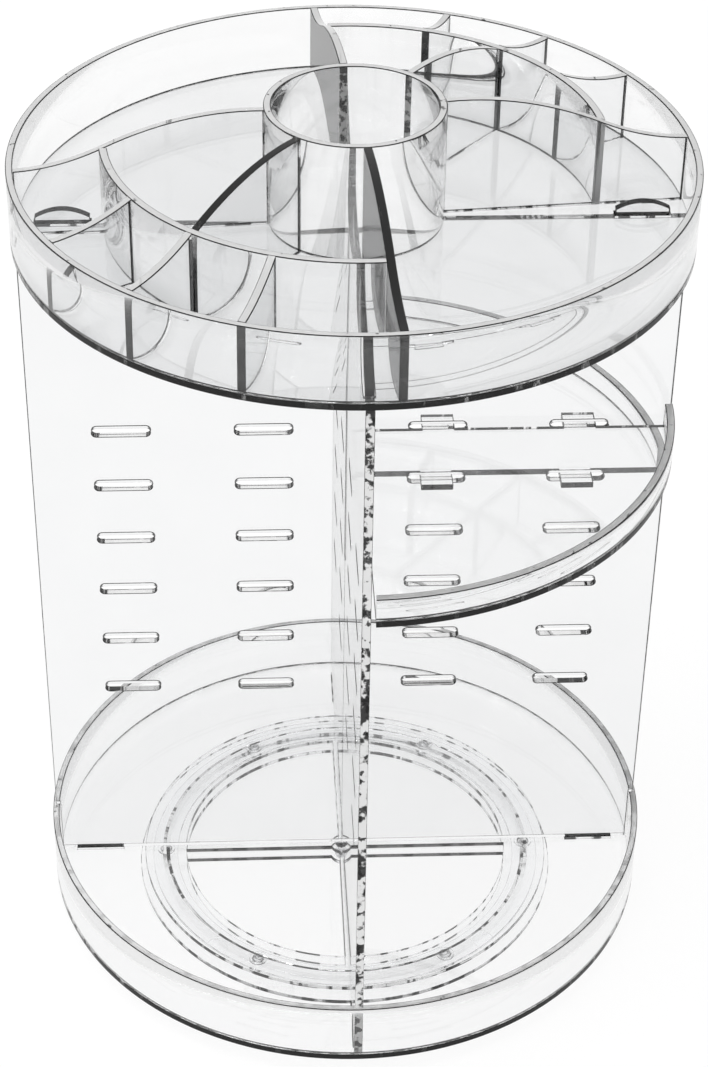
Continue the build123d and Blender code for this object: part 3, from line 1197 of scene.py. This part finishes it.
@dataclass
class Turntable:
    """Two clear bearing rings with spoked hubs, the ball cage between them and its balls."""

    hub: float = 0.006
    spoke: float = 0.0052
    inner: float = 0.0634
    race: float = 0.0715
    race_half: float = 0.00155
    race_depth: float = 0.0009
    balls: int = 6
    ball: float = 0.00225
    pocket: float = 0.0023
    boss: float = 0.0034
    boss_height: float = 0.0006
    boss_lift: float = 0.00003
    boss_soften: float = 0.0001
    cage_outer: float = 0.0767
    cage_inner: float = 0.0669
    bore: float = 0.00235
    foot_plate: float = 0.0017
    top_plate: float = 0.00165
    race_reach: float = 0.003
    wall_margin: float = 0.0005
    points: int = 200
    round_points: int = 32

    def station(self, number: int) -> Point:
        """Centre of one ball's pocket.

        Args:
            number: Which ball, from 0.

        Returns:
            Its place on the race.
        """
        turn = 2 * pi * number / self.balls
        return (self.race * cos(turn), self.race * sin(turn))

    def window(self, quarter: int) -> Outline:
        """One of the four openings between a ring's spokes.

        Args:
            quarter: Which opening, from 0.

        Returns:
            Its outline, anticlockwise.
        """
        half = self.spoke / 2
        far = atan2(half, self.inner)
        near = atan2(half, self.hub)
        outer = arc(self.inner, far, pi / 2 - far, 40)
        inner = arc(self.hub, pi / 2 - near, near, 8)
        turn = Matrix.Rotation(quarter * pi / 2, 2)
        return [tuple(turn @ Vector(point)) for point in outer + inner]

    def ring(self, name: str, outer: float, bottom: float, top: float) -> bpy.types.Object:
        """Spoked ring plate.

        Args:
            name: Its name.
            outer: Its outer radius.
            bottom: Its underside.
            top: Its upper face.

        Returns:
            The plate.
        """
        outlines = [circle(outer, self.points), circle(self.bore, self.round_points)]
        outlines += [self.window(quarter) for quarter in range(4)]
        return Sheet(name, top - bottom, outlines).cut(level=(bottom + top) / 2)

    def groove(self, level: float, depth: float) -> bpy.types.Object:
        """V-shaped cutter for a ball race, spun from a triangle.

        Args:
            level: The ring's face.
            depth: How far into the ring it goes, negative for down.

        Returns:
            The cutter.
        """
        put_down()
        bpy.ops.mesh.primitive_circle_add(vertices=3, radius=1, fill_type="NOTHING")
        cutter = bpy.context.active_object
        over = level - depth * 0.1
        corners = ((-1, over), (1, over), (0, level + depth))
        for vertex, (across, height) in zip(cutter.data.vertices, corners):
            vertex.co = (self.race + across * self.race_half, 0, height)
        bpy.ops.object.mode_set(mode="EDIT")
        bpy.ops.mesh.select_all(action="SELECT")
        bpy.ops.mesh.spin(
            steps=self.points, angle=2 * pi, center=(0, 0, 0), axis=(0, 0, 1), use_auto_merge=True
        )
        close_up(cutter)
        return cutter

    def boss_ring(self, number: int, bottom: float, top: float) -> bpy.types.Object:
        """Raised boss round one pocket.

        Args:
            number: Which ball, from 0.
            bottom: Its underside.
            top: Its upper face.

        Returns:
            The boss, in its place.
        """
        wall = Tube(
            f"boss_{number}", self.pocket, self.boss, bottom, top, self.boss_soften, self.round_points
        )
        boss = wall.spin()
        boss.location = (*self.station(number), 0)
        take_up(boss)
        bpy.ops.object.transform_apply(location=True, rotation=True, scale=True)
        return boss

    def cage(self) -> bpy.types.Object:
        """Cage plate with six pockets and the raised boss round each.

        Returns:
            The cage.
        """
        low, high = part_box("ball_cage")
        outlines = [circle(self.cage_outer, self.points), circle(self.cage_inner, self.points)]
        bosses = []
        plate_top = high.z - self.boss_height
        for number in range(self.balls):
            outlines.append(circle(self.pocket, self.round_points, self.station(number)))
            bosses.append(self.boss_ring(number, plate_top + self.boss_lift, high.z))
        plate = Sheet("ball_cage", plate_top - low.z, outlines).cut(level=(low.z + plate_top) / 2)
        return merge([plate] + bosses, "ball_cage")

    def ball_set(self) -> bpy.types.Object:
        """Six polished balls.

        Returns:
            The balls as one piece.
        """
        low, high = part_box("bearing_balls")
        made = []
        for number in range(self.balls):
            centre = (*self.station(number), (low.z + high.z) / 2)
            put_down()
            bpy.ops.mesh.primitive_ico_sphere_add(subdivisions=4, radius=self.ball, location=centre)
            ball = bpy.context.active_object
            bpy.ops.object.transform_apply(location=True, rotation=True, scale=True)
            bpy.ops.object.shade_smooth()
            made.append(ball)
        return merge(made, "bearing_balls")

    def boss_kind(self, wall: bpy.types.MeshPolygon) -> EdgeKind | None:
        """Tell the bosses' outlines, painted dark as painted shade, from the cage's clear edges.

        Args:
            wall: A face of the cage's edges.

        Returns:
            How it looks, or None for a clear one.
        """
        centres = map(self.station, range(self.balls))
        nearest = min(hypot(wall.center.x - x, wall.center.y - y) for x, y in centres)
        is_outline = self.pocket + self.boss_height < nearest < self.boss + self.boss_soften
        return EdgeKind.BROKEN if is_outline else None

    def wall_kind(self, wall: bpy.types.MeshPolygon) -> EdgeKind | None:
        """Tell the spokes' sides and the rings' outlines, painted dark and broken as painted shade, from
        the clear ball race.

        Args:
            wall: A face of a ring's edges.

        Returns:
            How it looks, or None for a clear one.
        """
        reach = hypot(wall.center.x, wall.center.y)
        if reach < self.inner - self.wall_margin:
            return EdgeKind.OUTLINE if wall.normal.y > 0 else EdgeKind.BROKEN
        return None if abs(reach - self.race) < self.race_reach else EdgeKind.BROKEN

    def build(self, dresser: Dresser) -> None:
        """Build the rings, cage and balls and dress the small metal pieces.

        Args:
            dresser: Dresses the pieces.
        """
        moulding = dresser.finishes.moulding
        low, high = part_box("foot_ring")
        face = low.z + self.foot_plate
        foot = self.ring("foot_ring", high.x, low.z, face)
        carve(foot, self.groove(face, -self.race_depth))
        close_up(foot)
        dresser.sheet(foot, "foot_ring", Body.FOOT, moulding, None, self.wall_kind, Stock.MOULDING)
        low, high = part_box("bearing_top_ring")
        face = high.z - self.top_plate
        upper = self.ring("bearing_top_ring", high.x, face, high.z)
        carve(upper, self.groove(face, self.race_depth))
        close_up(upper)
        dresser.sheet(
            upper, "bearing_top_ring", Body.CAROUSEL, moulding, None, self.wall_kind, Stock.MOULDING
        )
        cage = self.cage()
        dresser.sheet(cage, "ball_cage", Body.CAGE, moulding, None, self.boss_kind, Stock.MOULDING)
        dresser.single(self.ball_set(), "bearing_balls", Body.CAGE, dresser.finishes.steel)
        dresser.node("pivot_pin", dresser.finishes.steel)
        dresser.node("pivot_clip", dresser.finishes.steel)
        dresser.node("foot_pads", dresser.finishes.pad)


# --- studio -------------------------------------------------------------------------------


@dataclass
class Studio:
    """White table and room, a soft box, and the camera."""

    floor_size: float = 30.0
    table_glow: float = 0.92
    mirrored_table: float = 0.9
    bounces: int = 48
    camera_place: tuple[float, float, float] = (-0.0398, -0.7680, 0.7245)
    heading: float = 0.0540
    pitch: float = 0.6314
    roll: float = 0.0153
    lens: float = 87.76
    sensor: float = 36.0
    room_stops: tuple[tuple[float, float], ...] = ((0.0, 0.75), (0.15, 0.6), (0.28, 0.6), (0.42, 1.0))
    lamp_place: tuple[float, float, float] = (-0.5, -0.3, 1.9)
    lamp_aim: tuple[float, float, float] = (0.0, 0.0, 0.15)
    lamp_size: float = 1.1
    lamp_watts: float = 22.0

    def unmirrored(self, tree: bpy.types.NodeTree, path: bpy.types.Node) -> bpy.types.NodeSocket:
        """Tell light that came straight through clear walls from light that any wall turned back.

        Args:
            tree: The node tree to work in.
            path: Its Light Path node.

        Returns:
            A socket that is 1 where nothing has mirrored the ray, else 0.
        """
        straight = tree.nodes.new("ShaderNodeMath")
        straight.operation = "LESS_THAN"
        straight.inputs[1].default_value = 0.5
        tree.links.new(path.outputs["Glossy Depth"], straight.inputs[0])
        return straight.outputs[0]

    def floor(self) -> None:
        """Lay the table: white to the eye and through clear walls, with a faint shadow."""
        put_down()
        bpy.ops.mesh.primitive_plane_add(size=self.floor_size, location=(0, 0, 0))
        table = bpy.context.active_object
        table.name = "table"
        sheet = NodeSheet("white_table")
        glow = sheet.add("ShaderNodeEmission", Color=(1, 1, 1, 1))
        matt = sheet.add("ShaderNodeBsdfDiffuse", Color=(0.92, 0.92, 0.92, 1))
        path = sheet.add("ShaderNodeLightPath")
        seen = path.outputs["Is Camera Ray"]
        for kind in ("Is Transmission Ray", "Is Glossy Ray"):
            either = sheet.add("ShaderNodeMath")
            either.operation = "MAXIMUM"
            sheet.join(seen, either.inputs[0])
            sheet.join(path.outputs[kind], either.inputs[1])
            seen = either.outputs[0]
        straight = self.unmirrored(sheet.tree, path)
        sheet.join(sheet.ranged(straight, 0.0, 1.0, self.mirrored_table, 1.0), glow.inputs["Strength"])
        both = sheet.add("ShaderNodeMixShader")
        sheet.join(sheet.ranged(seen, 0.0, 1.0, 0.0, self.table_glow), both.inputs[0])
        sheet.join(matt.outputs[0], both.inputs[1])
        sheet.join(glow.outputs[0], both.inputs[2])
        sheet.join(both.outputs[0], sheet.output.inputs["Surface"])
        table.data.materials.append(sheet.material)

    def surroundings(self) -> None:
        """White room, whose mirror image in the walls is greyer below a bright ceiling."""
        world = bpy.data.worlds.new("studio_room")
        bpy.context.scene.world = world
        world.use_nodes = True
        tree = world.node_tree
        tree.nodes.clear()
        place = tree.nodes.new("ShaderNodeTexCoord")
        split = tree.nodes.new("ShaderNodeSeparateXYZ")
        ramp = tree.nodes.new("ShaderNodeValToRGB")
        ramp.color_ramp.interpolation = "EASE"
        while len(ramp.color_ramp.elements) < len(self.room_stops):
            ramp.color_ramp.elements.new(0.5)
        for element, (height, level) in zip(ramp.color_ramp.elements, self.room_stops):
            element.position = height
            element.color = (level, level, level, 1.0)
        path = tree.nodes.new("ShaderNodeLightPath")
        white = tree.nodes.new("ShaderNodeBackground")
        mirrored = tree.nodes.new("ShaderNodeBackground")
        both = tree.nodes.new("ShaderNodeMixShader")
        output = tree.nodes.new("ShaderNodeOutputWorld")
        tree.links.new(place.outputs["Generated"], split.inputs[0])
        tree.links.new(split.outputs["Z"], ramp.inputs[0])
        tree.links.new(ramp.outputs["Color"], mirrored.inputs["Color"])
        white.inputs["Color"].default_value = (1, 1, 1, 1)
        tree.links.new(self.unmirrored(tree, path), both.inputs[0])
        tree.links.new(mirrored.outputs[0], both.inputs[1])
        tree.links.new(white.outputs[0], both.inputs[2])
        tree.links.new(both.outputs[0], output.inputs["Surface"])

    def soft_box(self) -> None:
        """Hang one large soft lamp above the table, a little to the left."""
        put_down()
        bpy.ops.object.light_add(type="AREA", location=self.lamp_place)
        lamp = bpy.context.active_object
        lamp.name = "soft_box"
        lamp.data.size = self.lamp_size
        lamp.data.energy = self.lamp_watts
        aim = Vector(self.lamp_aim) - lamp.location
        lamp.rotation_euler = aim.to_track_quat("-Z", "Y").to_euler()

    def camera(self) -> None:
        """Set the camera where the photograph was taken from."""
        data = bpy.data.cameras.new("photo_camera")
        data.sensor_fit = "VERTICAL"
        data.sensor_height = self.sensor
        data.lens = self.lens
        camera = bpy.data.objects.new("photo_camera", data)
        bpy.context.scene.collection.objects.link(camera)
        level = cos(self.pitch)
        forward = Vector((sin(self.heading) * level, cos(self.heading) * level, -sin(self.pitch)))
        right = forward.cross(Vector((0, 0, 1))).normalized()
        up = right.cross(forward)
        tilted_right = cos(self.roll) * right + sin(self.roll) * up
        tilted_up = cos(self.roll) * up - sin(self.roll) * right
        turn = Matrix((tilted_right, tilted_up, -forward)).transposed()
        camera.matrix_world = Matrix.Translation(self.camera_place) @ turn.to_4x4()
        bpy.context.scene.camera = camera

    def build(self) -> None:
        """Set up the table, light and camera."""
        self.floor()
        self.surroundings()
        self.soft_box()
        self.camera()
        scene = bpy.context.scene
        scene.view_settings.view_transform = "Standard"
        scene.cycles.max_bounces = self.bounces
        scene.cycles.glossy_bounces = self.bounces
        scene.cycles.transmission_bounces = self.bounces
        log.info("studio ready")


def main() -> None:
    """Build the organizer piece by piece and set it in the studio."""
    logging.basicConfig(level=logging.INFO, format="%(name)s: %(message)s")
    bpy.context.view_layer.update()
    dresser = Dresser(Finishes.mix())
    Turntable().build(dresser)
    finishes = dresser.finishes
    Tray("base_tray_floor", "base_tray_rim", Body.CAROUSEL, finishes.clear, 0.00005).build(dresser)
    CrossedPanels().build(dresser)
    QuarterShelf("front_shelf", Body.FRONT_SHELF, -1).build(dresser)
    QuarterShelf("rear_shelf", Body.REAR_SHELF, 1).build(dresser)
    Tray("top_tray_floor", "top_tray_rim", Body.TOP_TRAY, finishes.tray, 0.0003).build(dresser)
    TopTrayFittings().build(dresser)
    Studio().build()


if __name__ == "__main__":
    main()
